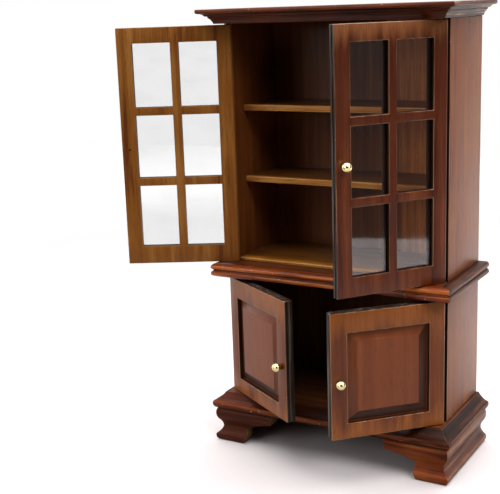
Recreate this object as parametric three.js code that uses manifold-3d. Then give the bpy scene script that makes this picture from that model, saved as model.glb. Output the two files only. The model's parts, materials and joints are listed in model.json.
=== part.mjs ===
// Miniature glazed bookcase, 1:12 scale, in millimetres with +Z up.
//
// The carcass faces -Y. The origin is on the ground, in the middle of the rear skirt's underside.
// Every board, strip, pane, knob and pin is its own mesh. The four doors stand open, each in a group
// turned about its own pivot pins.

import * as THREE from "three";
import { mergeVertices } from "three/addons/utils/BufferGeometryUtils.js";
import Module from "manifold-3d";

const wasm = await Module();
wasm.setup();

// ---------------------------------------------------------------- driving dimensions

const TOTAL_HEIGHT = 178;
const CARCASS_WIDTH = 93.2;
const CARCASS_DEPTH = 35.7;
const BACK_Y = 1;                      // rear plane of the whole case
const FRONT_Y = BACK_Y - CARCASS_DEPTH; // front edges of the side panels
const GLUE = 0.05;                     // clearance left between glued pieces

const SIDE_THICK = 3.5;
const BACK_THICK = 2;
const RABBET = 1.6;                    // how far a back panel is let into the sides

// Levels of the three horizontal boards, from the ground up
const BASE_BOTTOM = 17;
const BASE_TOP = 20.9;
const WAIST_BOTTOM = 71.3;
const WAIST_TOP = 76.5;
const CROWN_BOTTOM = 172.4;

// How far each board stands in front of the side panels, to shelter the doors
const BASE_REACH = 7.1;
const WAIST_REACH = 6.4;
const CROWN_REACH = 6.7;

// Shelves
const SHELF_THICK = 2.4;
const SHELF_SETBACK = 7;
const SHELF_TOPS = { shelf_upper: 139.9, shelf_lower: 110.7 };
const FLOOR_THICK = 1.3;

// Feet and skirts
const SKIRT_TOP = 14.2;                // underside of the base strip
const SKIRT_INSET = 2;                 // how far the skirt reaches in under the base board
const FOOT_BLOCK_X = 38;               // inner face of a front foot at the ground
const FOOT_WING_X = 25.2;              // end of the bracket beside it
const FOOT_WING_LOW = 10.3;            // underside of that bracket at its end
const REAR_SKIRT_THICK = 2;

// Doors
const DOOR_WIDTH = 45.7;
const PIN_INSET = 1.9;                 // pivot axis to the hinge edge
const PIN_X = 44.1;
const PIN_RADIUS = 0.5;
const PIN_BORE = 0.7;
const PIN_IN_BOARD = 1.8;
const PIN_IN_DOOR = 4;
const BORE_SPARE = 0.3;                // how much deeper a bore is than its pin
const HINGE_EASE = 0.8;                // bevel on both corners of the hinge edge
const KNOB_FROM_EDGE = 3.1;
const KNOB_RADIUS = 1.9;
const KNOB_SINK = 0.92;                // share of the ball's radius that stands clear of its neck
const NECK_RADIUS = 0.75;
const NECK_HEIGHT = 0.55;              // from the door's face to the ball
const COLLAR_RADIUS = 1.15;
const COLLAR_HEIGHT = 0.35;
const SHANK_RADIUS = 0.45;
const SHANK_BORE = 0.6;
const NAIL_TIP = 0.35;                 // how far the nail shows on the inside of the door

const UPPER_DOOR = {
  bottom: 76.8, top: 171.95, pinY: FRONT_Y - 2.2, thick: 3.2, frontPly: 1.35,
  stile: 6.1, railTop: 6.1, railBottom: 7.2, knobZ: 124, ease: HINGE_EASE,
};
const LOWER_DOOR = {
  bottom: 21.2, top: 69.9, pinY: FRONT_Y - 2.9, thick: 3.7, frontPly: 1.85,
  stile: 6.5, railTop: 7.8, railBottom: 6, knobZ: 43.4, ease: HINGE_EASE + 0.1,
};
const MUNTIN = 3.3;
const LIGHT_COLUMNS = 2;
const LIGHT_ROWS = 3;
const GLASS_THICK = 0.5;
const GLASS_LAP = 1.6;                 // how far the glass runs behind the frame
const PANEL_BEVEL = 3.7;               // width of the raised panel's sloped border
const PANEL_RELIEF = 1.5;              // height of its field above the sunk border
const PANEL_EASE = 0.3;                // gap between the raised panel and its frame
const PANEL_ROOT = 0.5;                // how far the field is sunk into the board behind it

// How far a cutting tool runs past the wood on either side
const TOOL_REACH = 10;

// How far each door stands open
const OPEN_DEGREES = { upper_right: 54, lower_right: 46, lower_left: 32, upper_left: 152 };

const HALF_WIDTH = CARCASS_WIDTH / 2;

// ---------------------------------------------------------------- materials

function finish(colour, roughness, metalness = 0) {
  return () => new THREE.MeshStandardMaterial({ color: colour, roughness, metalness });
}
const walnut = finish(0x73412d, 0.38);
const darkWalnut = finish(0x4a2a22, 0.4);
const goldenWalnut = finish(0x8a5a2c, 0.45);
const brass = finish(0xd9b25a, 0.22, 1);
const glass = finish(0xe8eef0, 0.05);

// ---------------------------------------------------------------- geometry helpers

// Turns every triangle over when the closed surface faces inwards.
function facedOutward(geometry) {
  const solid = geometry.index ? geometry.toNonIndexed() : geometry;
  const place = solid.attributes.position;
  const corner = [new THREE.Vector3(), new THREE.Vector3(), new THREE.Vector3()];
  let volume = 0;
  for (let i = 0; i < place.count; i += 3) {
    corner.forEach((point, k) => point.fromBufferAttribute(place, i + k));
    volume += corner[0].dot(corner[1].cross(corner[2]));
  }
  if (volume < 0) {
    for (let i = 0; i < place.count; i += 3) {
      const second = new THREE.Vector3().fromBufferAttribute(place, i + 1);
      const third = new THREE.Vector3().fromBufferAttribute(place, i + 2);
      place.setXYZ(i + 1, third.x, third.y, third.z);
      place.setXYZ(i + 2, second.x, second.y, second.z);
    }
  }
  return solid;
}

function mapVertices(geometry, move) {
  const place = geometry.attributes.position;
  for (let i = 0; i < place.count; i++) {
    place.setXYZ(i, ...move(place.getX(i), place.getY(i), place.getZ(i)));
  }
  return facedOutward(geometry);
}

// A box between two corners.
function block(low, high) {
  const size = high.map((value, axis) => value - low[axis]);
  const middle = high.map((value, axis) => (value + low[axis]) / 2);
  return new THREE.BoxGeometry(...size).translate(...middle);
}

// A cylinder along Z, between two heights.
function dowel(x, y, zLow, zHigh, radius, sides = 12) {
  return new THREE.CylinderGeometry(radius, radius, zHigh - zLow, sides)
    .rotateX(Math.PI / 2)
    .translate(x, y, (zLow + zHigh) / 2);
}

function toManifold(geometry) {
  const bare = geometry.clone();
  bare.deleteAttribute("normal");
  bare.deleteAttribute("uv");
  const merged = mergeVertices(bare, 1e-4);
  return new wasm.Manifold(new wasm.Mesh({
    numProp: 3,
    vertProperties: new Float32Array(merged.attributes.position.array),
    triVerts: new Uint32Array(merged.index.array),
  }));
}

function fromManifold(solid) {
  const mesh = solid.getMesh();
  const geometry = new THREE.BufferGeometry();
  const places = new Float32Array(mesh.vertProperties);
  geometry.setAttribute("position", new THREE.BufferAttribute(places, 3));
  geometry.setIndex(new THREE.BufferAttribute(new Uint32Array(mesh.triVerts), 1));
  geometry.computeVertexNormals();
  return geometry;
}

function cut(geometry, tools) {
  const take = (solid, tool) => solid.subtract(toManifold(tool));
  return fromManifold(tools.reduce(take, toManifold(geometry)));
}

function join(first, second) {
  return fromManifold(toManifold(first).add(toManifold(second)));
}

function common(first, second) {
  return fromManifold(toManifold(first).intersect(toManifold(second)));
}

// ---------------------------------------------------------------- moulding profiles
// Each is drawn as (how far it stands out from the board's edge, height above the ground).

const CURVE_STEPS = 5;

// A cove, a small step and an ovolo under the flat edge of the crown
function crownProfile() {
  const up = (height) => CROWN_BOTTOM + height;
  const shape = new THREE.Shape();
  shape.moveTo(GLUE, CROWN_BOTTOM);
  shape.lineTo(0.5, CROWN_BOTTOM);
  shape.quadraticCurveTo(0.9, up(1.5), 2.1, up(2.3));
  shape.lineTo(2.1, up(2.8));
  shape.lineTo(3, up(2.9));
  shape.quadraticCurveTo(3.6, up(3.9), 4.9, up(3.9));
  shape.quadraticCurveTo(5.7, up(4), 5.7, up(4.9));
  shape.lineTo(5.5, TOTAL_HEIGHT);
  shape.lineTo(GLUE, TOTAL_HEIGHT);
  return shape;
}

const BEAD_RADIUS = 1.25;
const BEAD_CENTRE = 3.15;
const BEAD_MEET = 1.25;                // angle at which each bead runs into the groove, in radians

// Two beads, one over the other, with a groove between them
function waistProfile() {
  const low = WAIST_BOTTOM + BEAD_RADIUS;
  const high = WAIST_TOP - BEAD_RADIUS;
  const shape = new THREE.Shape();
  shape.moveTo(GLUE, WAIST_BOTTOM);
  shape.absarc(BEAD_CENTRE, low, BEAD_RADIUS, -Math.PI / 2, BEAD_MEET, false);
  shape.absarc(BEAD_CENTRE, high, BEAD_RADIUS, -BEAD_MEET, Math.PI / 2, false);
  shape.lineTo(GLUE, WAIST_TOP);
  return shape;
}

// A rounded nose, then a hollow slope up to the base board
function baseProfile() {
  const up = (height) => SKIRT_TOP + height;
  const shape = new THREE.Shape();
  shape.moveTo(GLUE, up(GLUE));
  shape.lineTo(3.9, up(GLUE));
  shape.quadraticCurveTo(5.2, up(0.6), 5.3, up(2.2));
  shape.quadraticCurveTo(5.3, up(3.3), 4.6, up(3.4));
  shape.quadraticCurveTo(2.7, up(4), 1, BASE_TOP);
  shape.lineTo(GLUE, BASE_TOP);
  return shape;
}

// An ogee foot: a toe at the ground, a hollow, and a belly under the base moulding
function skirtProfile() {
  const shape = new THREE.Shape();
  shape.moveTo(-SKIRT_INSET, 0);
  shape.lineTo(3.7, 0);
  shape.quadraticCurveTo(4.8, 0.9, 4.5, 2.7);
  shape.quadraticCurveTo(2.3, 4.2, 2.1, 5.9);
  shape.quadraticCurveTo(2.3, 7.8, 3.6, 9.2);
  shape.quadraticCurveTo(4.6, 10.9, 4.3, 12.8);
  shape.quadraticCurveTo(4.1, 13.7, 3.6, SKIRT_TOP);
  shape.lineTo(-GLUE, SKIRT_TOP);
  shape.lineTo(-GLUE, BASE_BOTTOM - GLUE);
  shape.lineTo(-SKIRT_INSET, BASE_BOTTOM - GLUE);
  return shape;
}

// A length of moulding with its front corners mitred. `run` is front, left or right.
function moulding(profile, reach, run, innerX = null) {
  const unitLength = { depth: 1, bevelEnabled: false, curveSegments: CURVE_STEPS };
  const raw = new THREE.ExtrudeGeometry(profile, unitLength);
  const edgeY = FRONT_Y - reach;
  return mapVertices(raw, (out, height, along) => {
    const mitreX = HALF_WIDTH + out - GLUE;
    if (run === "front") {
      const startX = innerX === null ? -mitreX : innerX;
      return [startX + (mitreX - startX) * along, edgeY - out, height];
    }
    const sign = run === "right" ? 1 : -1;
    return [sign * (HALF_WIDTH + out), BACK_Y + (edgeY - out + GLUE - BACK_Y) * along, height];
  });
}

// A bracket foot: the skirt moulding sawn to the foot's outline seen from the front.
function frontFoot(sign) {
  const outline = new THREE.Shape();
  const beyond = HALF_WIDTH + TOOL_REACH;
  outline.moveTo(FOOT_BLOCK_X + 0.4, -1);
  outline.lineTo(beyond, -1);
  outline.lineTo(beyond, BASE_BOTTOM + 1);
  outline.lineTo(FOOT_WING_X, BASE_BOTTOM + 1);
  outline.lineTo(FOOT_WING_X, FOOT_WING_LOW);
  outline.quadraticCurveTo(FOOT_BLOCK_X - 8, 9.6, FOOT_BLOCK_X - 3.5, 7.6);
  outline.quadraticCurveTo(FOOT_BLOCK_X - 1, 6.7, FOOT_BLOCK_X - 0.6, 5.8);
  outline.quadraticCurveTo(FOOT_BLOCK_X - 1.2, 2.6, FOOT_BLOCK_X + 0.4, 0);
  const sawn = { depth: CARCASS_DEPTH, bevelEnabled: false, curveSegments: CURVE_STEPS };
  const saw = new THREE.ExtrudeGeometry(outline, sawn)
    .rotateX(Math.PI / 2)
    .translate(0, FRONT_Y + TOOL_REACH, 0);
  const length = moulding(skirtProfile(), BASE_REACH, "front", FOOT_WING_X - 1);
  return mapVertices(common(length, saw), (x, y, z) => [sign * x, y, z]);
}

// ---------------------------------------------------------------- boards

// The two bores a board takes for the pins of the doors above it or below it.
function boresFor(pinY, level, downwards) {
  const depth = PIN_IN_BOARD + BORE_SPARE;
  const [low, high] = downwards ? [level - depth, level + 1] : [level - 1, level + depth];
  return [-1, 1].map((sign) => dowel(sign * PIN_X, pinY, low, high, PIN_BORE));
}

function boardBlock(reach, bottom, top) {
  return block([-HALF_WIDTH, FRONT_Y - reach, bottom], [HALF_WIDTH, BACK_Y, top]);
}

function sidePanel(sign, bottom, top) {
  const plan = new THREE.Shape();
  const inner = HALF_WIDTH - SIDE_THICK;
  plan.moveTo(inner, FRONT_Y);
  plan.lineTo(HALF_WIDTH, FRONT_Y);
  plan.lineTo(HALF_WIDTH, BACK_Y);
  plan.lineTo(inner + RABBET, BACK_Y);
  plan.lineTo(inner + RABBET, BACK_Y - BACK_THICK - GLUE);
  plan.lineTo(inner, BACK_Y - BACK_THICK - GLUE);
  const raw = new THREE.ExtrudeGeometry(plan, { depth: top - bottom - 2 * GLUE, bevelEnabled: false });
  return mapVertices(raw, (x, y, z) => [sign * x, y, z + bottom + GLUE]);
}

function backPanel(bottom, top) {
  const half = HALF_WIDTH - SIDE_THICK + RABBET - GLUE;
  return block([-half, BACK_Y - BACK_THICK, bottom + GLUE], [half, BACK_Y, top - GLUE]);
}

function shelf(frontY, bottom, top) {
  const half = HALF_WIDTH - SIDE_THICK - GLUE;
  return block([-half, frontY, bottom], [half, BACK_Y - BACK_THICK - GLUE, top]);
}

// ---------------------------------------------------------------- doors
// A door is drawn closed, from its pivot axis: `across` runs from the axis to the free edge and
// `out` towards the front. A left door runs to +X from its pins, a right door to -X.

// A ply the size of the whole door, between two depths.
function ply(door, out0, out1) {
  return block([-PIN_INSET, -out1, door.bottom], [DOOR_WIDTH - PIN_INSET, -out0, door.top]);
}

// Tools that cut openings right through a ply.
function piercing(openings) {
  return openings.map(([left, right, low, high]) => block(
    [left, -TOOL_REACH, low], [right, TOOL_REACH, high]));
}

// The bevel taken off one long corner of the hinge edge.
function hingeBevel(door, out) {
  const corner = new THREE.Shape();
  const away = Math.sign(out);
  corner.moveTo(-PIN_INSET - 1, -out + away * door.ease + away);
  corner.lineTo(-PIN_INSET - 1, -out - away * 2);
  corner.lineTo(-PIN_INSET + door.ease + 2, -out - away * 2);
  const raw = new THREE.ExtrudeGeometry(corner, { depth: TOTAL_HEIGHT, bevelEnabled: false });
  return facedOutward(raw);
}

function pinBores(door) {
  return [
    dowel(0, 0, door.top - PIN_IN_DOOR - BORE_SPARE, door.top + 1, PIN_BORE),
    dowel(0, 0, door.bottom - 1, door.bottom + PIN_IN_DOOR + BORE_SPARE, PIN_BORE),
  ];
}

function shankBore(door) {
  return dowel(0, 0, -TOOL_REACH, TOOL_REACH, SHANK_BORE)
    .rotateX(Math.PI / 2)
    .translate(DOOR_WIDTH - PIN_INSET - KNOB_FROM_EDGE, 0, door.knobZ);
}

// A brass nail with a ball head, driven through the stile so that its tip just shows inside.
function knob(door) {
  const face = door.thick / 2;
  const ball = face + NECK_HEIGHT + KNOB_RADIUS * KNOB_SINK;
  const profile = [
    [0, -face - NAIL_TIP],
    [SHANK_RADIUS, -face - NAIL_TIP / 2],
    [SHANK_RADIUS, face + GLUE],
    [COLLAR_RADIUS, face + GLUE],
    [COLLAR_RADIUS, face + COLLAR_HEIGHT],
    [NECK_RADIUS, face + NECK_HEIGHT],
  ].map(([radius, out]) => new THREE.Vector2(radius, out));
  const steps = 9;
  const start = Math.acos(KNOB_SINK);
  for (let i = 1; i <= steps; i++) {
    const turn = start + ((Math.PI - start) * i) / steps;
    profile.push(new THREE.Vector2(
      i === steps ? 0 : KNOB_RADIUS * Math.sin(turn), ball - KNOB_RADIUS * Math.cos(turn)));
  }
  // The lathe turns about Y; the nail points out of the door's face, towards -Y.
  return facedOutward(new THREE.LatheGeometry(profile, 20)
    .rotateX(Math.PI)
    .translate(DOOR_WIDTH - PIN_INSET - KNOB_FROM_EDGE, 0, door.knobZ));
}

function doorPins(door) {
  return {
    pin_top: dowel(0, 0, door.top - PIN_IN_DOOR, door.top + PIN_IN_BOARD, PIN_RADIUS),
    pin_bottom: dowel(0, 0, door.bottom - PIN_IN_BOARD, door.bottom + PIN_IN_DOOR, PIN_RADIUS),
  };
}

function lightOpenings(door) {
  const left = -PIN_INSET + door.stile;
  const right = DOOR_WIDTH - PIN_INSET - door.stile;
  const low = door.bottom + door.railBottom;
  const high = door.top - door.railTop;
  const width = (right - left - MUNTIN * (LIGHT_COLUMNS - 1)) / LIGHT_COLUMNS;
  const height = (high - low - MUNTIN * (LIGHT_ROWS - 1)) / LIGHT_ROWS;
  const openings = [];
  for (let column = 0; column < LIGHT_COLUMNS; column++) {
    for (let row = 0; row < LIGHT_ROWS; row++) {
      const across = left + column * (width + MUNTIN);
      const up = low + row * (height + MUNTIN);
      openings.push([across, across + width, up, up + height]);
    }
  }
  return openings;
}

// Two frames with the same six lights, and one sheet of glass let into the rear one.
function glazedDoorParts() {
  const door = UPPER_DOOR;
  const front = door.thick / 2;
  const seam = front - door.frontPly;
  const lights = piercing(lightOpenings(door));
  // A sheet behind all the lights, between two depths behind the seam of the two plies
  const sheet = (lap, near, far) => block(
    [-PIN_INSET + door.stile - lap, near - seam, door.bottom + door.railBottom - lap],
    [DOOR_WIDTH - PIN_INSET - door.stile + lap, far - seam, door.top - door.railTop + lap]);
  const recess = sheet(GLASS_LAP + GLUE, -1, GLASS_THICK + 2 * GLUE);
  const bores = [...pinBores(door), shankBore(door)];
  const frontPly = ply(door, seam + GLUE / 2, front);
  const rearPly = ply(door, -front, seam - GLUE / 2);
  return {
    front_frame: [cut(frontPly, [hingeBevel(door, front), ...lights, ...bores]), walnut],
    rear_frame: [cut(rearPly, [recess, hingeBevel(door, -front), ...lights, ...bores]), goldenWalnut],
    glass: [sheet(GLASS_LAP, GLUE, GLASS_THICK + GLUE), glass],
    knob: [knob(door), brass],
  };
}

// A frame over a board whose raised field fills the opening.
function panelledDoorParts() {
  const door = LOWER_DOOR;
  const front = door.thick / 2;
  const seam = front - door.frontPly;
  const opening = [-PIN_INSET + door.stile, DOOR_WIDTH - PIN_INSET - door.stile,
    door.bottom + door.railBottom, door.top - door.railTop];
  const [x0, x1, z0, z1] = opening.map((value, i) => value + (i % 2 ? -PANEL_EASE : PANEL_EASE));
  const sunk = -(seam - GLUE / 2);
  const blank = block([x0, sunk - PANEL_RELIEF, z0], [x1, sunk + PANEL_ROOT, z1]);
  const field = mapVertices(blank, (x, y, z) => {
    if (y > sunk - PANEL_RELIEF / 2) return [x, y, z];
    const inset = (value, low, high) => value + Math.sign((low + high) / 2 - value) * PANEL_BEVEL;
    return [inset(x, x0, x1), y, inset(z, z0, z1)];
  });
  const bores = [...pinBores(door), shankBore(door)];
  const board = ply(door, -front, seam - GLUE / 2);
  return {
    frame: [cut(ply(door, seam + GLUE / 2, front),
      [hingeBevel(door, front), ...piercing([opening]), ...bores]), walnut],
    panel: [cut(join(board, field), [hingeBevel(door, -front), ...bores]), walnut],
    knob: [knob(door), brass],
  };
}

// ---------------------------------------------------------------- the assembly

const bookcase = new THREE.Group();

function add(group, name, geometry, material) {
  const mesh = new THREE.Mesh(geometry, material());
  mesh.name = name;
  group.add(mesh);
}

// Horizontal boards, bored for the door pins
add(bookcase, "crown_board", cut(boardBlock(CROWN_REACH, CROWN_BOTTOM, TOTAL_HEIGHT),
  boresFor(UPPER_DOOR.pinY, CROWN_BOTTOM, false)), walnut);
add(bookcase, "waist_board", cut(boardBlock(WAIST_REACH, WAIST_BOTTOM, WAIST_TOP), [
  ...boresFor(UPPER_DOOR.pinY, WAIST_TOP, true),
  ...boresFor(LOWER_DOOR.pinY, WAIST_BOTTOM, false),
]), walnut);
add(bookcase, "base_board", cut(boardBlock(BASE_REACH, BASE_BOTTOM, BASE_TOP),
  boresFor(LOWER_DOOR.pinY, BASE_TOP, true)), walnut);

// Mitred mouldings round three sides of each board
const MOULDINGS = {
  crown_moulding: [crownProfile, CROWN_REACH],
  waist_moulding: [waistProfile, WAIST_REACH],
  base_moulding: [baseProfile, BASE_REACH],
};
for (const [name, [profile, reach]] of Object.entries(MOULDINGS)) {
  for (const run of ["front", "left", "right"]) {
    add(bookcase, `${name}_${run}`, moulding(profile(), reach, run), run === "front" ? walnut : darkWalnut);
  }
}

// Plinth
for (const [name, sign] of [["left", -1], ["right", 1]]) {
  add(bookcase, `front_foot_${name}`, frontFoot(sign), walnut);
  add(bookcase, `side_skirt_${name}`, moulding(skirtProfile(), BASE_REACH, name), darkWalnut);
}
const rearHalf = HALF_WIDTH - SKIRT_INSET - GLUE;
add(bookcase, "rear_skirt", block(
  [-rearHalf, BACK_Y - REAR_SKIRT_THICK, 0], [rearHalf, BACK_Y, BASE_BOTTOM - GLUE]), walnut);

// Upper and lower cases
const CASES = { lower: [BASE_TOP, WAIST_BOTTOM], upper: [WAIST_TOP, CROWN_BOTTOM] };
for (const [name, [bottom, top]] of Object.entries(CASES)) {
  add(bookcase, `${name}_side_left`, sidePanel(-1, bottom, top), walnut);
  add(bookcase, `${name}_side_right`, sidePanel(1, bottom, top), walnut);
  add(bookcase, `${name}_back`, backPanel(bottom, top), darkWalnut);
}
add(bookcase, "upper_floor", shelf(FRONT_Y, WAIST_TOP + GLUE, WAIST_TOP + FLOOR_THICK), goldenWalnut);
for (const [name, top] of Object.entries(SHELF_TOPS)) {
  add(bookcase, name, shelf(FRONT_Y + SHELF_SETBACK, top - SHELF_THICK, top), goldenWalnut);
}

// Doors
const DOORS = { upper: [UPPER_DOOR, glazedDoorParts], lower: [LOWER_DOOR, panelledDoorParts] };
for (const [level, [door, makeParts]] of Object.entries(DOORS)) {
  for (const [hand, sign] of [["left", -1], ["right", 1]]) {
    const name = `${level}_${hand}`;
    const group = new THREE.Group();
    group.position.set(sign * PIN_X, door.pinY, 0);
    group.rotation.z = THREE.MathUtils.degToRad(sign * OPEN_DEGREES[name]);
    const towardsCentre = (x, y, z) => [-sign * x, y, z];
    for (const [part, [geometry, material]] of Object.entries(makeParts())) {
      add(group, `${name}_door_${part}`, mapVertices(geometry, towardsCentre), material);
    }
    for (const [part, geometry] of Object.entries(doorPins(door))) {
      add(group, `${name}_door_${part}`, geometry, brass);
    }
    bookcase.add(group);
  }
}

export default bookcase;
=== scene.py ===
import json
import math

import bmesh
import bpy
from mathutils import Matrix, Vector, noise

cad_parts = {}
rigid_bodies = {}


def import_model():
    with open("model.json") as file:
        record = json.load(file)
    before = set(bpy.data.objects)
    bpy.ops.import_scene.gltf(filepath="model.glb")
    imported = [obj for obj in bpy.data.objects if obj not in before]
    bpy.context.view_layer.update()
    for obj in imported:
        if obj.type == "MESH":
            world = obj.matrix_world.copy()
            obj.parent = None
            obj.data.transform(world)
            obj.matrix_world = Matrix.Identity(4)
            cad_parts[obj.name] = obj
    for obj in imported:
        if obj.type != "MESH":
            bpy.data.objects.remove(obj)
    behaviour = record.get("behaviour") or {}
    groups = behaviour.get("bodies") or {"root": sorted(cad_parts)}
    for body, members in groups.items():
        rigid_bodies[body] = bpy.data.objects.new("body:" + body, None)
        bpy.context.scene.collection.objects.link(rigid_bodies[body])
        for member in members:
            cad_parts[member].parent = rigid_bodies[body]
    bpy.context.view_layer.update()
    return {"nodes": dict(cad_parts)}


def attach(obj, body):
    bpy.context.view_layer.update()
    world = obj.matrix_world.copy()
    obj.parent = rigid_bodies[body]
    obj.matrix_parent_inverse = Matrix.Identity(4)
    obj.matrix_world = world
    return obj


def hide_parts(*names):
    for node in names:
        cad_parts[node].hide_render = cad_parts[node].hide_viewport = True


# Miniature glazed bookcase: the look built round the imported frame. Lengths are in millimetres until
# a mesh is finished. Boards, strips and plies are separate meshes. Each door is drawn closed from its
# pivot axis, and its objects carry the pivot's place and the angle the door stands at.

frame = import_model()

# ---------------------------------------------------------------- dimensions

MM = 0.001
HALF_WIDTH = 46.6
BACK_Y = 1.0
FRONT_Y = -34.7
SIDE_THICK = 3.5
BACK_THICK = 2.0
PANEL_MIDDLE_Y = -17.0    # where the side panels have an extra row of points
RABBET = 1.6
BASE_BOTTOM, BASE_TOP = 17.0, 20.9
WAIST_BOTTOM, WAIST_TOP = 71.3, 76.5
CROWN_BOTTOM, CROWN_TOP = 172.4, 178.0
BASE_REACH, WAIST_REACH, CROWN_REACH = 7.1, 6.4, 6.7
SHELF_THICK = 2.4
SHELF_SETBACK = 7.0
SHELF_TOPS = {"upper": 139.9, "lower": 110.7}
FLOOR_THICK = 1.3
SKIRT_TOP = 14.2
SKIRT_INSET = 2.0
FOOT_BLOCK_X = 38.0
FOOT_WING_X = 25.2
REAR_SKIRT_THICK = 2.0
GAP = 0.03                # left between neighbouring boards
GLUE = 0.05               # left under the base board and beside the rear skirt

DOOR_WIDTH = 45.7
PIN_INSET = 1.9
PIN_X = 44.1
FREE_EDGE = DOOR_WIDTH - PIN_INSET
KNOB_ACROSS = FREE_EDGE - 3.1
KNOB_RADIUS = 1.9
UPPER = dict(bottom=76.8, top=171.95, pin_y=FRONT_Y - 2.2, thick=3.2, front=1.35,
             stile=6.1, rail_top=6.1, rail_bottom=7.2, knob_z=124.0)
LOWER = dict(bottom=21.2, top=69.9, pin_y=FRONT_Y - 2.9, thick=3.7, front=1.85,
             stile=6.5, rail_top=7.8, rail_bottom=6.0, knob_z=43.4)
MUNTIN = 3.3
GLASS_THICK = 0.5
GLASS_LAP = 1.6
HINGE_ROUND = 0.9
PANEL_EASE = 0.3          # gap between a raised field and its frame
PLY_GAP = 0.02            # left on either side of the seam between two plies
PANE_GAP = 0.05           # left between a pane and the inner frame
INNER_OFFSET = {"upper_left": 0.0, "upper_right": 1.1}   # the inner frame was glued on a little off
OPEN = {"upper_right": 54, "lower_right": 46, "lower_left": 32, "upper_left": 152}


# ---------------------------------------------------------------- materials

def srgb(red, green, blue):
    """A display colour of 0..255 as linear light."""
    return tuple(((c / 255 + 0.055) / 1.055) ** 2.4 if c > 10 else c / 255 / 12.92
                 for c in (red, green, blue)) + (1.0,)


class Graph:
    """A short way to add shader nodes."""

    def __init__(self, name):
        self.material = bpy.data.materials.new(name)
        self.material.use_nodes = True
        self.tree = self.material.node_tree
        self.tree.nodes.clear()
        self.out = self.add("ShaderNodeOutputMaterial")
        self.shader = self.add("ShaderNodeBsdfPrincipled")
        self.link(self.shader.outputs[0], self.out.inputs[0])

    def add(self, kind, **settings):
        node = self.tree.nodes.new(kind)
        for key, value in settings.items():
            setattr(node, key, value)
        return node

    def link(self, source, target):
        self.tree.links.new(source, target)

    def feed(self, socket, value):
        if isinstance(value, bpy.types.NodeSocket):
            self.link(value, socket)
        else:
            socket.default_value = value

    def place(self, scale, offset=(0, 0, 0)):
        """Object coordinates, in metres, times a scale."""
        where = self.add("ShaderNodeTexCoord").outputs["Object"]
        mapping = self.add("ShaderNodeMapping")
        self.link(where, mapping.inputs["Vector"])
        mapping.inputs["Scale"].default_value = scale
        mapping.inputs["Location"].default_value = offset
        return mapping.outputs[0]

    def noise(self, vector, detail=3.0, rough=0.55, distortion=0.0):
        node = self.add("ShaderNodeTexNoise")
        self.link(vector, node.inputs["Vector"])
        node.inputs["Scale"].default_value = 1.0
        node.inputs["Detail"].default_value = detail
        node.inputs["Roughness"].default_value = rough
        node.inputs["Distortion"].default_value = distortion
        return node.outputs["Fac"]

    def math(self, operation, first, second, clamp=False):
        node = self.add("ShaderNodeMath", operation=operation, use_clamp=clamp)
        self.feed(node.inputs[0], first)
        self.feed(node.inputs[1], second)
        return node.outputs[0]

    def ramp(self, value, low, high, to_low=0.0, to_high=1.0):
        node = self.add("ShaderNodeMapRange", interpolation_type="SMOOTHSTEP")
        self.feed(node.inputs["Value"], value)
        node.inputs["From Min"].default_value = low
        node.inputs["From Max"].default_value = high
        node.inputs["To Min"].default_value = to_low
        node.inputs["To Max"].default_value = to_high
        return node.outputs["Result"]

    def mix(self, factor, first, second, blend="MIX"):
        node = self.add("ShaderNodeMix", data_type="RGBA", blend_type=blend)
        self.feed(node.inputs["Factor"], factor)
        self.feed(node.inputs[6], first)
        self.feed(node.inputs[7], second)
        return node.outputs[2]


def along(axis, fine, coarse):
    """Texture scale stretched along the grain axis."""
    return tuple(coarse if letter == axis else fine for letter in "XYZ")


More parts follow.
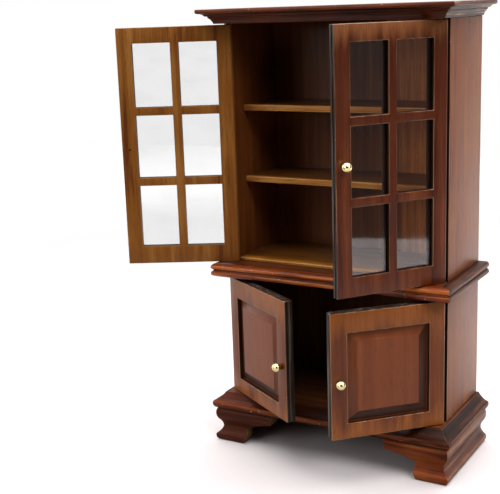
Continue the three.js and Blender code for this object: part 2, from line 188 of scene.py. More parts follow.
def wood(name, dark, mid, light, axis="Z", bands=300.0, gloss=0.38, coat=0.1, bump=0.25,
         edge=None, painted_recess_shade=None, fades=(), seed=0.0, shine=0.28):
    """Stained, lacquered hardwood. `fades` lists (axis, from, to, colour, strength): the colour goes
    over to that colour as the coordinate, in millimetres, runs between the two values. `edge` is the
    colour of wear on arrises, and on moulding crests partly wear, partly painted highlight; the
    sunk-border colour is painted shade, laid on a raised panel's sloped border."""
    g = Graph(name)
    offset = (seed, seed * 0.7, seed * 1.3)
    band = g.noise(g.place(along(axis, bands, bands / 28), offset), 2.5, 0.5, 0.35)
    fibre = g.noise(g.place(along(axis, 1900.0, 60.0), offset), 3.0, 0.6)
    blotch = g.noise(g.place((55.0, 55.0, 38.0), offset), 2.0, 0.5)
    tone = g.math("ADD", g.math("MULTIPLY", band, 0.5), g.math("MULTIPLY", fibre, 0.25))
    tone = g.math("ADD", tone, g.math("MULTIPLY", blotch, 0.25))
    colour = g.mix(g.ramp(tone, 0.38, 0.5), srgb(*dark), srgb(*mid))
    colour = g.mix(g.ramp(tone, 0.5, 0.64), colour, srgb(*light))
    pores = g.noise(g.place(along(axis, 3600.0, 170.0), offset), 2.0, 0.6)
    pore = g.ramp(pores, 0.60, 0.70)
    for letter, start, end, shade, strength in fades:
        part = g.add("ShaderNodeSeparateXYZ")
        g.link(g.add("ShaderNodeTexCoord").outputs["Object"], part.inputs[0])
        shift = g.math("MULTIPLY", g.math("SUBTRACT", band, 0.5), (end - start) * MM * 1.6)
        where = g.math("ADD", part.outputs[letter], shift)
        amount = g.ramp(where, start * MM, end * MM) if start < end else \
            g.ramp(where, end * MM, start * MM, 1.0, 0.0)
        amount = g.math("MULTIPLY", amount, strength)
        tinted = g.mix(g.ramp(fibre, 0.35, 0.65, 0.0, 0.35), srgb(*shade), srgb(*mid))
        colour = g.mix(amount, colour, tinted)
    colour = g.mix(g.math("MULTIPLY", pore, 0.45), colour, srgb(*(c * 0.35 for c in dark)))
    # Arrises take the edge colour as wear; moulding crests take it partly as wear and partly as
    # painted highlight. The pale chips are wear.
    if edge is not None:
        wear_and_highlight = g.add("ShaderNodeAttribute", attribute_name="wear_and_highlight").outputs["Fac"]
        patch = g.ramp(g.noise(g.place(along(axis, 420.0, 30.0), offset), 3.0, 0.65), 0.36, 0.64)
        colour = g.mix(g.math("MULTIPLY", wear_and_highlight, g.math("MULTIPLY", patch, 0.75)), colour, srgb(*edge))
        chip = g.ramp(g.noise(g.place((800.0, 800.0, 800.0), offset), 2.0, 0.6), 0.69, 0.73)
        colour = g.mix(g.math("MULTIPLY", wear_and_highlight, chip), colour, srgb(214, 190, 164))
    # Painted shade on a raised panel's sloped border, as strong as its shade layer says
    if painted_recess_shade is not None:
        recess_shade = g.add("ShaderNodeAttribute", attribute_name="recess_shade").outputs["Fac"]
        colour = g.mix(recess_shade, colour, srgb(*painted_recess_shade))
    g.link(colour, g.shader.inputs["Base Color"])
    rough = g.math("ADD", g.math("MULTIPLY", band, 0.22), gloss - 0.11)
    g.link(g.math("ADD", rough, g.math("MULTIPLY", pore, 0.12)), g.shader.inputs["Roughness"])
    g.shader.inputs["Coat Weight"].default_value = coat
    g.shader.inputs["Coat Roughness"].default_value = 0.28
    g.shader.inputs["Specular IOR Level"].default_value = shine
    height = g.math("SUBTRACT", g.math("ADD", g.math("MULTIPLY", fibre, 0.5), band),
                    g.math("MULTIPLY", pore, 0.6))
    relief = g.add("ShaderNodeBump")
    relief.inputs["Strength"].default_value = bump
    relief.inputs["Distance"].default_value = 0.00012
    g.link(height, relief.inputs["Height"])
    g.link(relief.outputs[0], g.shader.inputs["Normal"])
    return g.material


def brass(name, tone, rough):
    g = Graph(name)
    tarnish = g.noise(g.place((900.0, 900.0, 900.0)), 3.0, 0.6)
    colour = g.mix(g.ramp(tarnish, 0.55, 0.75, 0.0, 0.5), srgb(*tone), srgb(150, 104, 40))
    g.link(colour, g.shader.inputs["Base Color"])
    g.shader.inputs["Metallic"].default_value = 1.0
    g.link(g.ramp(tarnish, 0.3, 0.8, rough, rough + 0.12), g.shader.inputs["Roughness"])
    relief = g.add("ShaderNodeBump")
    relief.inputs["Strength"].default_value = 0.06
    relief.inputs["Distance"].default_value = 0.00005
    g.link(tarnish, relief.inputs["Height"])
    g.link(relief.outputs[0], g.shader.inputs["Normal"])
    return g.material


def clear_pane(name):
    """Thin clear sheet with faint smears: mostly see-through, brighter at a glancing angle."""
    g = Graph(name)
    g.shader.inputs["Base Color"].default_value = srgb(236, 234, 238)
    g.shader.inputs["Metallic"].default_value = 1.0
    smear = g.noise(g.place((60.0, 60.0, 150.0)), 3.0, 0.6)
    g.link(g.ramp(smear, 0.45, 0.75, 0.02, 0.07), g.shader.inputs["Roughness"])
    glancing = g.add("ShaderNodeFresnel")
    glancing.inputs["IOR"].default_value = 1.5
    mirror = g.math("MULTIPLY", glancing.outputs[0], 0.85)
    g.link(g.math("ADD", mirror, g.ramp(smear, 0.4, 0.8, 0.055, 0.09), True), g.shader.inputs["Alpha"])
    return g.material


# Each wood is given by its dark, middle and light stain.
upper_face = wood("upper_door_walnut", (72, 25, 7), (98, 42, 16), (122, 61, 27), seed=3.0,
                  edge=(176, 132, 96),
                  fades=[("Z", 120, 150, (74, 29, 11), 0.6), ("Z", 163, 171.5, (152, 94, 55), 0.9)])
lower_face = wood("lower_door_walnut", (98, 44, 18), (113, 54, 22), (130, 69, 32), seed=7.0,
                  edge=(186, 142, 100),
                  fades=[("Z", 56, 67, (160, 90, 34), 0.8), ("Z", 31, 20, (166, 96, 38), 0.8)])
# Raised field: its sunk-border colour is painted shade.
panel_face = wood("panel_walnut", (120, 58, 27), (128, 64, 31), (136, 72, 37), seed=11.0,
                  painted_recess_shade=(34, 12, 4))
side_wood = wood("side_walnut", (102, 43, 13), (130, 67, 27), (146, 86, 42), seed=5.0,
                 gloss=0.46, coat=0.05, edge=(190, 150, 120))
dark_trim = wood("dark_trim", (22, 8, 5), (52, 23, 13), (92, 50, 32), axis="Y", seed=2.0,
                 bump=0.6, bands=420.0, gloss=0.48, coat=0.0, shine=0.24, edge=(128, 76, 50))
crown_side_trim = wood("crown_side_trim", (26, 10, 6), (82, 46, 32), (190, 146, 120), axis="Y",
                       seed=2.0, bump=0.6, bands=520.0, gloss=0.5, coat=0.0, edge=(110, 66, 44))
# Waist front: its orange edge colour on the bead crests is partly wear, partly painted highlight.
front_trim = wood("front_trim", (56, 16, 3), (112, 43, 10), (160, 76, 24), axis="X", seed=4.0,
                  bump=0.4, gloss=0.27, edge=(216, 116, 40))
crown_trim = wood("crown_trim", (44, 13, 4), (78, 31, 12), (112, 54, 25), axis="X", seed=4.0,
                  bump=0.4, gloss=0.34, coat=0.05, shine=0.2, edge=(124, 60, 28))
# Front base moulding: the fade darkens it from x = -32 mm rightwards, painted shadow cast by the open
# lower doors.
low_trim = wood("low_trim", (52, 17, 5), (86, 34, 12), (122, 56, 24), axis="X", seed=4.0, bump=0.4,
                gloss=0.4, coat=0.0, shine=0.12, edge=(150, 74, 34),
                fades=[("X", -32, -18, (22, 8, 3), 0.92)])
base_trim = wood("base_trim", (16, 6, 4), (44, 20, 12), (92, 50, 32), axis="Y", seed=19.0,
                 bump=0.6, bands=420.0, gloss=0.5, coat=0.0, shine=0.16, edge=(116, 70, 46))
# Bracket feet: the fade darkens the left foot as painted shade.
foot_wood = wood("foot_walnut", (68, 25, 7), (122, 55, 21), (152, 82, 38), axis="X", seed=17.0,
                 bump=0.6, bands=420.0, coat=0.0, gloss=0.45, shine=0.12, edge=(150, 80, 34),
                 fades=[("X", 20, -20, (50, 17, 6), 0.9)])
top_wood = wood("top_walnut", (54, 20, 6), (80, 34, 12), (102, 51, 25), axis="X", seed=6.0)
skirt_wood = wood("skirt_walnut", (42, 15, 7), (92, 42, 23), (150, 92, 60), axis="Y", seed=20.0,
                  bump=0.5, bands=420.0, gloss=0.42, edge=(172, 112, 74))
inner_face = wood("inner_walnut", (100, 50, 15), (138, 82, 28), (164, 108, 48), seed=8.0,
                  edge=(160, 110, 62))
# Shelves and case floor: the fades darken them towards the back as painted shade, where less light
# reaches.
shelf_wood = wood("shelf_walnut", (110, 56, 14), (166, 100, 30), (200, 136, 60), axis="X", seed=9.0,
                  edge=(206, 162, 104),
                  fades=[("Y", -27.6, -24.5, (64, 32, 13), 0.95)])
floor_wood = wood("floor_walnut", (124, 66, 16), (186, 116, 34), (214, 150, 66), axis="X", seed=10.0,
                  edge=(206, 160, 96),
                  fades=[("Y", -36, -28, (54, 27, 11), 0.97)])
# Upper lining: the fade lightens its right-hand part as painted light, where lamplight falls in.
inside_wood = wood("inside_walnut", (96, 50, 18), (114, 62, 25), (130, 76, 36), seed=12.0, coat=0.1,
                   fades=[("X", 0, 30, (226, 140, 76), 0.95)])
# The lower cupboard's lining and floor are darker than the upper lining: painted shade for the shut-in
# cupboard.
shaded_cupboard_wood = wood("shaded_cupboard_walnut", (66, 37, 19), (86, 50, 27), (100, 62, 36), seed=18.0,
                     coat=0.0, shine=0.1)
shaded_cupboard_floor = wood("shaded_cupboard_floor", (70, 36, 18), (96, 54, 30), (118, 72, 42), axis="X", seed=16.0,
                      coat=0.0, shine=0.1)
ply_edge = wood("ply_edge", (18, 12, 9), (40, 29, 24), (106, 94, 84), bands=520.0, seed=13.0,
                gloss=0.5, coat=0.0, shine=0.18, edge=(164, 154, 142))
reveal_wood = wood("reveal_walnut", (34, 18, 10), (52, 28, 16), (72, 42, 27), seed=14.0, coat=0.0,
                   shine=0.15)
shadow_wood = wood("shadow_walnut", (16, 7, 4), (26, 12, 7), (44, 22, 13), seed=21.0, coat=0.0,
                   shine=0.1, edge=(120, 70, 36))
sawn_wood = wood("sawn_walnut", (84, 62, 36), (126, 96, 58), (156, 124, 82), axis="X", seed=15.0,
                 gloss=0.6, coat=0.0)
knob_brass = brass("knob_brass", (255, 234, 170), 0.07)
# Knob neck and nail: dark brass as painted shade.
shaded_neck_brass = brass("shaded_neck_brass", (64, 38, 18), 0.4)
pin_metal = brass("pin_metal", (186, 148, 82), 0.3)
pane = clear_pane("door_pane")


# ---------------------------------------------------------------- mesh building

def steps(marks, stride=7.0):
    """The marks with evenly spaced values put in between, none further apart than the stride."""
    values = [marks[0]]
    for start, end in zip(marks, marks[1:]):
        count = max(1, math.ceil((end - start) / stride))
        values += [start + (end - start) * i / count for i in range(1, count + 1)]
    return values


def plate(us, vs, low, high, holes=(), turn=lambda u, v, w: (u, v, w)):
    """A plate over the grid us x vs, between two depths, pierced by the rectangles in `holes`."""
    bm = bmesh.new()
    made = {}

    def vertex(i, j, k):
        if (i, j, k) not in made:
            made[i, j, k] = bm.verts.new(turn(us[i], vs[j], (low, high)[k]))
        return made[i, j, k]

    def solid(i, j):
        if not (0 <= i < len(us) - 1 and 0 <= j < len(vs) - 1):
            return False
        u, v = (us[i] + us[i + 1]) / 2, (vs[j] + vs[j + 1]) / 2
        return not any(h[0] < u < h[1] and h[2] < v < h[3] for h in holes)

    for i in range(len(us) - 1):
        for j in range(len(vs) - 1):
            if not solid(i, j):
                continue
            for k in (0, 1):
                bm.faces.new([vertex(i + a, j + b, k) for a, b in ((0, 0), (1, 0), (1, 1), (0, 1))])
            around = (((-1, 0), (0, 0), (0, 1)), ((1, 0), (1, 0), (1, 1)),
                      ((0, -1), (0, 0), (1, 0)), ((0, 1), (0, 1), (1, 1)))
            for (di, dj), (a, b), (c, d) in around:
                if not solid(i + di, j + dj):
                    bm.faces.new([vertex(i + a, j + b, 0), vertex(i + c, j + d, 0),
                                  vertex(i + c, j + d, 1), vertex(i + a, j + b, 1)])
    bmesh.ops.recalc_face_normals(bm, faces=bm.faces)
    return bm


def ease(bm, width, segments=2, wear=True, chosen=None):
    """Rounds the sharp edges, or the chosen ones, and marks the new faces as wear on the arrises."""
    layer = bm.loops.layers.float_color.get("wear_and_highlight")
    if layer is None:
        layer = bm.loops.layers.float_color.new("wear_and_highlight")
        for face in bm.faces:
            for loop in face.loops:
                loop[layer] = (0, 0, 0, 1)
    edges = chosen if chosen is not None else [
        e for e in bm.edges if len(e.link_faces) == 2 and e.calc_face_angle(0) > math.radians(40)]
    made = bmesh.ops.bevel(bm, geom=edges, offset=width, segments=segments, profile=0.5,
                           affect="EDGES", clamp_overlap=True)
    if wear:
        for face in made["faces"]:
            for loop in face.loops:
                loop[layer] = (1, 1, 1, 1)


def waver(bm, amount=0.05, grain=0.06):
    """The slight unevenness of hand work. Neighbouring parts move alike where they meet."""
    for vertex in bm.verts:
        vertex.co += noise.noise_vector(vertex.co * grain) * amount


def complete(name, bm, body, nodes, materials, place=None, choose=None):
    """Turns a mesh drawn in millimetres into a piece of the object."""
    for face in bm.faces:
        face.smooth = True
        face.material_index = choose(face) if choose else 0
    bmesh.ops.scale(bm, vec=(MM, MM, MM), verts=bm.verts)
    bmesh.ops.recalc_face_normals(bm, faces=bm.faces)
    mesh = bpy.data.meshes.new(name)
    bm.to_mesh(mesh)
    bm.free()
    mesh.set_sharp_from_angle(angle=math.radians(38))
    for material in materials:
        mesh.materials.append(material)
    piece = bpy.data.objects.new(name, mesh)
    bpy.context.scene.collection.objects.link(piece)
    if place is not None:
        piece.matrix_world = place
    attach(piece, body)
    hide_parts(*nodes)


def quad(points, start, control, end, count=8):
    """Adds a curve with one control point to an outline."""
    for i in range(1, count + 1):
        t = i / count
        points.append(tuple((1 - t) ** 2 * a + 2 * t * (1 - t) * b + t * t * c
                            for a, b, c in zip(start, control, end)))


def outline(*moves):
    """An outline from points, and from (control, end) pairs for curves."""
    points = [moves[0]]
    for move in moves[1:]:
        if isinstance(move[0], tuple):
            quad(points, points[-1], *move)
        else:
            points.append(move)
    return points


def arc(centre, radius, start, end, count=9):
    return [(centre[0] + radius * math.cos(start + (end - start) * i / count),
             centre[1] + radius * math.sin(start + (end - start) * i / count))
            for i in range(count + 1)]


# Moulding profiles: (how far it stands out from the board's edge, height above the ground). A pair
# of points in brackets is a curve's control point and its end.
CROWN_PROFILE = outline(
    (GAP, CROWN_BOTTOM), (0.5, CROWN_BOTTOM), ((0.9, 173.9), (2.1, 174.7)), (2.1, 175.2),
    (3.0, 175.3), ((3.6, 176.3), (4.9, 176.3)), ((5.7, 176.4), (5.7, 177.3)), (5.5, CROWN_TOP),
    (GAP, CROWN_TOP))
BEAD_RADIUS = 1.25
BEAD_CENTRE = 3.15
BEAD_MEET = 1.25          # angle, in radians, at which each bead runs into the groove
WAIST_PROFILE = ([(GAP, WAIST_BOTTOM)]
                 + arc((BEAD_CENTRE, WAIST_BOTTOM + BEAD_RADIUS), BEAD_RADIUS, -math.pi / 2, BEAD_MEET)
                 + arc((BEAD_CENTRE, WAIST_TOP - BEAD_RADIUS), BEAD_RADIUS, -BEAD_MEET, math.pi / 2)
                 + [(GAP, WAIST_TOP)])
BASE_PROFILE = outline(
    (GAP, SKIRT_TOP + GAP), (3.9, SKIRT_TOP + GAP), ((5.2, 14.8), (5.3, 16.4)),
    ((5.3, 17.5), (4.6, 17.6)), ((2.7, 18.2), (1.0, BASE_TOP)), (GAP, BASE_TOP))
SKIRT_PROFILE = outline(
    (-SKIRT_INSET, 0.0), (3.7, 0.0), ((4.8, 0.9), (4.5, 2.7)), ((2.3, 4.2), (2.1, 5.9)),
    ((2.3, 7.8), (3.6, 9.2)), ((4.6, 10.9), (4.3, 12.8)), ((4.1, 13.7), (3.6, SKIRT_TOP)),
    (-GLUE, SKIRT_TOP), (-GLUE, BASE_BOTTOM - GLUE), (-SKIRT_INSET, BASE_BOTTOM - GLUE))


def moulding(profile, reach, run, inner_x=None, count=14, crest=math.inf):
    """A length of moulding with its front corners mitred. `run` is front, left or right. Whatever
    stands out past `crest` is marked for the edge colour: partly wear, partly painted highlight along
    the noses."""
    edge_y = FRONT_Y - reach
    bm = bmesh.new()
    layer = bm.loops.layers.float_color.new("wear_and_highlight")
    rings = []
    for i in range(count + 1):
        t = i / count
        ring = []
        for out, height in profile:
            corner = HALF_WIDTH + out
            if run == "front":
                start = -corner if inner_x is None else inner_x
                where = (start + (corner - start) * t, edge_y - out, height)
            else:
                side = 1 if run == "right" else -1
                where = (side * corner, BACK_Y + (edge_y - out - BACK_Y) * t, height)
            ring.append(bm.verts.new(where))
        rings.append(ring)
    size = len(profile)
    for near, far in zip(rings, rings[1:]):
        for a in range(size):
            b = (a + 1) % size
            face = bm.faces.new([near[a], near[b], far[b], far[a]])
            crest_wear_and_highlight = 1.0 if (profile[a][0] + profile[b][0]) / 2 > crest else 0.0
            for loop in face.loops:
                loop[layer] = (crest_wear_and_highlight, crest_wear_and_highlight, crest_wear_and_highlight, 1)
    for end in (rings[0], list(reversed(rings[-1]))):
        for loop in bm.faces.new(end).loops:
            loop[layer] = (0, 0, 0, 1)
    bmesh.ops.recalc_face_normals(bm, faces=bm.faces)
    return bm


def as_object(bm):
    mesh = bpy.data.meshes.new("scratch")
    bm.to_mesh(mesh)
    bm.free()
    holder = bpy.data.objects.new("scratch", mesh)
    bpy.context.scene.collection.objects.link(holder)
    return holder


def common(first, second):
    """What two closed meshes share, as a new mesh."""
    a, b = as_object(first), as_object(second)
    cut = a.modifiers.new("cut", "BOOLEAN")
    cut.operation = "INTERSECT"
    cut.solver = "EXACT"
    cut.object = b
    shared = a.evaluated_get(bpy.context.evaluated_depsgraph_get()).to_mesh()
    bm = bmesh.new()
    bm.from_mesh(shared)
    for holder in (a, b):
        mesh = holder.data
        bpy.data.objects.remove(holder)
        bpy.data.meshes.remove(mesh)
    return bm


def foot(sign):
    """A bracket foot: the skirt moulding sawn to the foot's outline seen from the front."""
    beyond = HALF_WIDTH + 10
    shape = outline(
        (FOOT_BLOCK_X + 0.4, -1), (beyond, -1), (beyond, BASE_BOTTOM + 1),
        (FOOT_WING_X, BASE_BOTTOM + 1), (FOOT_WING_X, 10.3), ((30, 9.6), (34.5, 7.6)),
        ((37, 6.7), (FOOT_BLOCK_X - 0.6, 5.8)), ((FOOT_BLOCK_X - 1.2, 2.6), (FOOT_BLOCK_X + 0.4, 0)))
    saw = bmesh.new()
    front = [saw.verts.new((x, FRONT_Y - 30, z)) for x, z in shape]
    rear = [saw.verts.new((x, FRONT_Y + 10, z)) for x, z in shape]
    saw.faces.new(front)
    saw.faces.new(list(reversed(rear)))
    for a in range(len(shape)):
        b = (a + 1) % len(shape)
        saw.faces.new([front[a], front[b], rear[b], rear[a]])
    bmesh.ops.recalc_face_normals(saw, faces=saw.faces)
    bm = common(moulding(SKIRT_PROFILE, BASE_REACH, "front", FOOT_WING_X - 1, 8), saw)
    if sign < 0:
        bmesh.ops.scale(bm, vec=(-1, 1, 1), verts=bm.verts)
        bmesh.ops.reverse_faces(bm, faces=bm.faces)
    return bm


# ---------------------------------------------------------------- the case

def flat(u, v, w):
    return (u, v, w)


def upright(u, v, w):
    return (u, w, v)


TRIMS = {("crown", True): crown_trim, ("waist", True): front_trim, ("base", True): low_trim,
         ("crown", False): crown_side_trim, ("waist", False): dark_trim, ("base", False): base_trim}
# The crest reaches mark the noses and beads that take the edge colour, partly wear and partly painted
# highlight.
for level, profile, reach, crest in (("crown", CROWN_PROFILE, CROWN_REACH, 5.5),
                                     ("waist", WAIST_PROFILE, WAIST_REACH, 4.15),
                                     ("base", BASE_PROFILE, BASE_REACH, 5.1)):
    for run in ("front", "left", "right"):
        bm = moulding(profile, reach, run, crest=crest)
        waver(bm)
        ease(bm, 0.12)
        complete(f"{level}_strip_{run}", bm, "carcass", [f"{level}_moulding_{run}"],
                 [TRIMS[level, run == "front"]])

for hand, sign in (("left", -1), ("right", 1)):
    bm = foot(sign)
    complete(f"bracket_foot_{hand}", bm, "carcass", [f"front_foot_{hand}"],
             [foot_wood, sawn_wood],
             choose=lambda f: 1 if abs(f.normal.y) < 0.02 and abs(f.normal.x) > 0.03 else 0)
    bm = moulding(SKIRT_PROFILE, BASE_REACH, hand, crest=4.3)
    waver(bm)
    ease(bm, 0.12)
    complete(f"plinth_side_{hand}", bm, "carcass", [f"side_skirt_{hand}"], [skirt_wood])

rear_half = HALF_WIDTH - SKIRT_INSET - GLUE
bm = plate(steps([-rear_half, rear_half]), steps([0, BASE_BOTTOM - GLUE]),
           BACK_Y - REAR_SKIRT_THICK, BACK_Y, turn=upright)
waver(bm)
ease(bm, 0.2)
complete("plinth_rear", bm, "carcass", ["rear_skirt"], [front_trim])

def side_faces(sign):
    """The outside of a side panel 0, the inside 1, the front edge 2."""
    def choose(f):
        if f.normal.x * sign < -0.9:
            return 1
        return 2 if f.normal.y < -0.9 and f.calc_center_median().y < PANEL_MIDDLE_Y else 0
    return choose


for level, bottom, top in (("lower", BASE_TOP, WAIST_BOTTOM), ("upper", WAIST_TOP, CROWN_BOTTOM)):
    low, high = bottom + GAP, top - GAP
    # The lower cupboard's lining is the darker wood, painted shade.
    lining = inside_wood if level == "upper" else shaded_cupboard_wood
    for hand, sign in (("left", -1), ("right", 1)):
        # The plan has a rabbet for the back, so the panel is an outline run upwards.
        inner = HALF_WIDTH - SIDE_THICK
        back = BACK_Y - BACK_THICK - GAP
        plan = [(inner, FRONT_Y), (HALF_WIDTH, FRONT_Y), (HALF_WIDTH, PANEL_MIDDLE_Y),
                (HALF_WIDTH, BACK_Y), (inner + RABBET, BACK_Y), (inner + RABBET, back),
                (inner, back), (inner, PANEL_MIDDLE_Y)]
        bm = bmesh.new()
        levels = steps([low, high], 9)
        rings = [[bm.verts.new((sign * x, y, z)) for x, y in plan] for z in levels]
        for under, over in zip(rings, rings[1:]):
            for a in range(len(plan)):
                b = (a + 1) % len(plan)
                bm.faces.new([under[a], under[b], over[b], over[a]])
        bm.faces.new(rings[0])
        bm.faces.new(rings[-1])
        bmesh.ops.recalc_face_normals(bm, faces=bm.faces)
        waver(bm, 0.04)
        ease(bm, 0.25, 3)
        complete(f"{level}_panel_{hand}", bm, "carcass", [f"{level}_side_{hand}"],
                 [side_wood, lining, shadow_wood], choose=side_faces(sign))
    half = HALF_WIDTH - SIDE_THICK + RABBET - GAP
    bm = plate(steps([-half, half]), steps([low, high]), BACK_Y - BACK_THICK, BACK_Y, turn=upright)
    ease(bm, 0.1)
    complete(f"{level}_back_board", bm, "carcass", [f"{level}_back"],
             [side_wood, lining], choose=lambda f: 1 if f.normal.y < -0.5 else 0)

half = HALF_WIDTH - SIDE_THICK - GAP
for name, front_y, low, high, node, material in (
        ("case_floor", FRONT_Y, WAIST_TOP + GAP, WAIST_TOP + FLOOR_THICK, "upper_floor", floor_wood),
        ("shelf_board_upper", FRONT_Y + SHELF_SETBACK, SHELF_TOPS["upper"] - SHELF_THICK,
         SHELF_TOPS["upper"], "shelf_upper", shelf_wood),
        ("shelf_board_lower", FRONT_Y + SHELF_SETBACK, SHELF_TOPS["lower"] - SHELF_THICK,
         SHELF_TOPS["lower"], "shelf_lower", shelf_wood)):
    bm = plate(steps([-half, half], 4), steps([front_y, BACK_Y - BACK_THICK - GAP]), low, high,
               turn=flat)
    ease(bm, 0.3, 3)
    complete(name, bm, "carcass", [node], [material])


# ---------------------------------------------------------------- the doors

def door_place(name, door):
    sign = 1 if name.endswith("right") else -1
    turn = Matrix.Rotation(math.radians(sign * OPEN[name]), 4, "Z")
    return sign, Matrix.Translation(Vector((sign * PIN_X, door["pin_y"], 0)) * MM) @ turn


def door_turn(sign):
    """(across from the pins, height, out) to the door's own coordinates."""
    return lambda u, v, w: (-sign * u, -w, v)


def round_hinge(bm, sign, out):
    edges = [e for e in bm.edges
             if all(abs(v.co.x * -sign + PIN_INSET) < 1e-4 and abs(v.co.y + out) < 1e-4
                    for v in e.verts)]
    ease(bm, HINGE_ROUND, 4, wear=False, chosen=edges)


def light_openings(door):
    left, right = door["stile"] - PIN_INSET, FREE_EDGE - door["stile"]
    low, high = door["bottom"] + door["rail_bottom"], door["top"] - door["rail_top"]
    width = (right - left - MUNTIN) / 2
    height = (high - low - 2 * MUNTIN) / 3
    return [(left + column * (width + MUNTIN), left + column * (width + MUNTIN) + width,
             low + row * (height + MUNTIN), low + row * (height + MUNTIN) + height)
            for column in range(2) for row in range(3)]


def framed_ply(door, sign, out0, out1, openings, rounded):
    us = sorted({-PIN_INSET, FREE_EDGE} | {h[k] for h in openings for k in (0, 1)})
    vs = sorted({door["bottom"], door["top"]} | {h[k] for h in openings for k in (2, 3)})
    bm = plate(steps(us, 9), steps(vs, 9), out0, out1, openings, door_turn(sign))
    round_hinge(bm, sign, rounded)
    ease(bm, 0.22, 3)
    return bm


def reveal_or_edge(door, sign, inner=False):
    """Faces 0, the door's outer edges 1, the reveals of its openings 2. The side of an inner frame
    that lies against the glass takes the reveal's dark wood as painted shade."""
    def choose(f):
        if inner and f.normal.y < -0.3:
            return 2
        if abs(f.normal.y) > 0.3:
            return 0
        where = f.calc_center_median()
        across = -sign * where.x
        inside = (-PIN_INSET + 2 < across < FREE_EDGE - 2
                  and door["bottom"] + 2 < where.z < door["top"] - 2)
        return 2 if inside else 1
    return choose


def knob(door, sign):
    """A brass nail with a ball head, turned about the line it is driven along."""
    face = door["thick"] / 2
    ball = face + 0.55 + KNOB_RADIUS * 0.92
    profile = [(0.0, -face - 0.35), (0.3, -face - 0.28), (0.45, -face - 0.1), (0.45, face + 0.02),
               (1.1, face + 0.02), (1.18, face + 0.12), (1.1, face + 0.32), (0.8, face + 0.5)]
    count = 20
    for i in range(1, count + 1):
        turn = math.pi * (0.13 + 0.87 * i / count)
        profile.append((KNOB_RADIUS * math.sin(turn) if i < count else 0.0,
                        ball - KNOB_RADIUS * math.cos(turn)))
    bm = bmesh.new()
    sides = 40
    rings = []
    for r, out in profile:
        if r < 1e-6:
            rings.append([bm.verts.new((-sign * KNOB_ACROSS, -out, door["knob_z"]))])
        else:
            rings.append([bm.verts.new((-sign * KNOB_ACROSS + r * math.cos(2 * math.pi * k / sides),
                                        -out, door["knob_z"] + r * math.sin(2 * math.pi * k / sides)))
                          for k in range(sides)])
    for near, far in zip(rings, rings[1:]):
        for k in range(sides):
            n = (k + 1) % sides
            loop = [near[k % len(near)], near[n % len(near)], far[n % len(far)], far[k % len(far)]]
            bm.faces.new(list(dict.fromkeys(loop)))
    bmesh.ops.recalc_face_normals(bm, faces=bm.faces)
    return bm


def raised_board(door, sign):
    """The back ply of a panelled door, with its raised field standing in the frame's opening."""
    seam = door["thick"] / 2 - door["front"]
    left, right = door["stile"] - PIN_INSET + PANEL_EASE, FREE_EDGE - door["stile"] - PANEL_EASE
    low = door["bottom"] + door["rail_bottom"] + PANEL_EASE
    high = door["top"] - door["rail_top"] - PANEL_EASE
    # Inset from the opening and height above the seam, from the sunk border up to the field
    slope = [(0.0, 0.0), (0.5, 0.04), (1.2, 0.22), (2.0, 0.58), (2.8, 1.02), (3.2, 1.2),
             (3.3, 1.36), (3.55, 1.47), (3.9, 1.5)]
    rect = [(-PIN_INSET, FREE_EDGE, door["bottom"], door["top"], -door["thick"] / 2),
            (-PIN_INSET, FREE_EDGE, door["bottom"], door["top"], seam)]
    rect += [(left + d, right - d, low + d, high - d, seam + h) for d, h in slope]
    turn = door_turn(sign)
    bm = bmesh.new()
    rings = [[bm.verts.new(turn(u, v, w)) for u, v in ((a, c), (b, c), (b, d), (a, d))]
             for a, b, c, d, w in rect]
    # Painted shade: a layer saying how dark each face of the sloped border is painted
    recess_shade = bm.loops.layers.float_color.new("recess_shade")
    faces = [(bm.faces.new(rings[0]), 0.0), (bm.faces.new(rings[-1]), 0.0)]
    for level, (near, far) in enumerate(zip(rings, rings[1:])):
        for k in range(4):
            # Painted shade on the sloped border, given for its bottom, free edge, top and hinge edge:
            # darkest at the bottom and the hinge edge, where least light falls
            depth = (0.85, 0.25, 0.0, 0.8)[k] if level > 1 else 0.0
            faces.append((bm.faces.new([near[k], near[(k + 1) % 4], far[(k + 1) % 4], far[k]]), depth))
    for face, depth in faces:
        for loop in face.loops:
            loop[recess_shade] = (depth, depth, depth, 1)
    bmesh.ops.recalc_face_normals(bm, faces=bm.faces)
    round_hinge(bm, sign, -door["thick"] / 2)
    return bm


def add_knob(name, door, sign, place):
    # Faces near the door, the neck and the nail, take the dark brass, painted shade.
    complete(f"{name}_ball_knob", knob(door, sign), f"{name}_door", [f"{name}_door_knob"],
             [knob_brass, shaded_neck_brass], place,
             lambda f: 1 if -f.calc_center_median().y < door["thick"] / 2 + 0.5 else 0)


